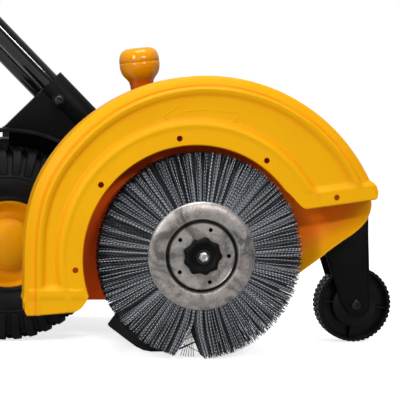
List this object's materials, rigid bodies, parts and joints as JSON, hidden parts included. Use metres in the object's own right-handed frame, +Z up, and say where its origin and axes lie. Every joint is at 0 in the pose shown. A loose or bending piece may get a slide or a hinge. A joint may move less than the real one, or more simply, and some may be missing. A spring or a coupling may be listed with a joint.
{
  "type": "concrete edger",
  "caption": "Walk-behind joint and edge brush machine: motor-driven bristle wheel under a half-round guard, cranked rear axle, swivel caster and folding handle.",
  "frame": {"origin": "on the ground, under the middle of the whole machine's box", "axes": "+X is the direction of travel, away from the handle; +Y runs from the brush side to the far side; +Z is up"},
  "size_m": [1.1048, 0.5116, 0.9867],
  "materials": {
    "yellow_plastic": "satin",
    "yellow_lever": "satin",
    "black_plastic": "matte",
    "fan_plastic": "matte",
    "caster_plastic": "satin",
    "button_plastic": "satin",
    "gloss_black_paint": "gloss",
    "frame_paint": "satin",
    "zinc_steel": "satin",
    "black_screws": "satin",
    "gear_steel": "satin",
    "worn_steel": "satin",
    "cast_alloy": "matte",
    "core_iron": "matte",
    "bush_brass": "satin",
    "carbon": "matte",
    "bristle": "satin",
    "bristle_base": "matte",
    "tyre_rubber": "matte",
    "flap_rubber": "matte",
    "grip_foam": "matte"
  },
  "bodies": {
    "chassis": {"guard_front_shell": "yellow_plastic", "guard_back_shell": "yellow_plastic", "guard_screws": "zinc_steel", "debris_flap": "flap_rubber", "bulkhead_plate": "frame_paint", "deck_pan": "frame_paint", "caster_shelf": "frame_paint", "side_plate_near": "frame_paint", "side_plate_far": "frame_paint", "gear_case_front": "cast_alloy", "gear_case_rear": "cast_alloy", "shaft_bearings": "zinc_steel", "motor_housing": "black_plastic", "motor_end_cover": "black_plastic", "stator": "core_iron", "carbon_brushes": "carbon", "motor_gland": "black_plastic", "case_screws": "black_screws", "shaft_supports": "bush_brass", "lever_quadrant": "zinc_steel", "fender_near": "black_plastic", "fender_far": "black_plastic", "handle_bracket_near": "black_plastic", "handle_bracket_far": "black_plastic", "lower_tube_near": "gloss_black_paint", "lower_tube_far": "gloss_black_paint", "fold_bolts": "zinc_steel", "caster_head": "frame_paint"},
    "brush": {"spindle": "zinc_steel", "output_gear": "gear_steel", "drive_flange": "zinc_steel", "hub_plate_front": "worn_steel", "hub_plate_rear": "worn_steel", "bristle_core": "bristle_base", "bristle_ring": "bristle", "clamp_nut": "black_plastic", "hub_bolt": "zinc_steel"},
    "rotor": {"rotor_shaft": "gear_steel", "rotor_core": "core_iron", "cooling_fan": "fan_plastic"},
    "height_lever": {"height_lever": "zinc_steel", "lever_knob": "yellow_plastic", "lever_shaft": "zinc_steel"},
    "link": {"link_rod": "zinc_steel"},
    "crank_axle": {"crank_shaft": "zinc_steel", "rear_axle": "zinc_steel", "axle_nuts": "zinc_steel"},
    "near_wheel": {"tyre_near": "tyre_rubber", "rim_near": "yellow_plastic"},
    "far_wheel": {"tyre_far": "tyre_rubber", "rim_far": "yellow_plastic"},
    "caster_fork": {"caster_fork": "black_plastic"},
    "caster_wheel": {"caster_wheel": "caster_plastic"},
    "upper_handle": {"upper_handle": "gloss_black_paint", "grips": "grip_foam", "switch_box": "black_plastic"},
    "switch_bail": {"switch_bail": "yellow_lever"},
    "lock_button": {"lock_button": "button_plastic"},
    "near_clamp_knob": {"clamp_knob_near": "black_plastic"},
    "far_clamp_knob": {"clamp_knob_far": "black_plastic"}
  },
  "joints": [
    {"name": "brush_spin", "type": "hinge", "parent": "chassis", "child": "brush", "pos_m": [0.26386, -0.21875, 0.13], "axis": [0, 1, 0], "continuous": true},
    {"name": "rotor_spin", "type": "hinge", "parent": "chassis", "child": "rotor", "pos_m": [0.29086, -0.05675, 0.166], "axis": [0, 1, 0], "continuous": true},
    {"name": "lever_hinge", "type": "hinge", "parent": "chassis", "child": "height_lever", "pos_m": [0.18486, -0.10675, 0.13], "axis": [0, 1, 0], "range_deg": [-12, 12]},
    {"name": "link_hinge", "type": "hinge", "parent": "height_lever", "child": "link", "pos_m": [0.18486, 0.03225, 0.175], "axis": [0, 1, 0], "range_deg": [-12, 12]},
    {"name": "crank_hinge", "type": "hinge", "parent": "chassis", "child": "crank_axle", "pos_m": [0.10486, 0.08825, 0.13], "axis": [0, 1, 0], "range_deg": [-12, 12]},
    {"name": "near_wheel_spin", "type": "hinge", "parent": "crank_axle", "child": "near_wheel", "pos_m": [0.03486, -0.03775, 0.13], "axis": [0, 1, 0], "continuous": true},
    {"name": "far_wheel_spin", "type": "hinge", "parent": "crank_axle", "child": "far_wheel", "pos_m": [0.03486, 0.21425, 0.13], "axis": [0, 1, 0], "continuous": true},
    {"name": "caster_swivel", "type": "hinge", "parent": "chassis", "child": "caster_fork", "pos_m": [0.47186, -0.08975, 0.17], "axis": [0, 0, 1], "continuous": true},
    {"name": "caster_wheel_spin", "type": "hinge", "parent": "caster_fork", "child": "caster_wheel", "pos_m": [0.50086, -0.08975, 0.0515], "axis": [0, 1, 0], "continuous": true},
    {"name": "handle_fold", "type": "hinge", "parent": "chassis", "child": "upper_handle", "pos_m": [-0.1882, 0.08825, 0.62256], "axis": [0, 1, 0], "range_deg": [0, 150]},
    {"name": "bail_hinge", "type": "hinge", "parent": "upper_handle", "child": "switch_bail", "pos_m": [-0.48518, 0.08825, 0.9054], "axis": [0, 1, 0], "range_deg": [0, 14], "stiffness_Nm_per_rad": 1.5, "springref_deg": -20.05},
    {"name": "lock_button_slide", "type": "slide", "parent": "upper_handle", "child": "lock_button", "axis": [-0.7071, 0, -0.7071], "range_m": [0, 0.0035], "stiffness_N_per_m": 400, "springref_m": -0.003},
    {"name": "near_clamp_spin", "type": "hinge", "parent": "chassis", "child": "near_clamp_knob", "pos_m": [-0.1882, -0.06675, 0.62256], "axis": [0, 1, 0], "continuous": true},
    {"name": "far_clamp_spin", "type": "hinge", "parent": "chassis", "child": "far_clamp_knob", "pos_m": [-0.1882, 0.24325, 0.62256], "axis": [0, 1, 0], "continuous": true}
  ],
  "couplings": [
    {"joint": "rotor_spin", "follows": "brush_spin", "ratio": -5},
    {"joint": "link_hinge", "follows": "lever_hinge", "ratio": -1},
    {"joint": "crank_hinge", "follows": "lever_hinge", "ratio": 1}
  ]
}
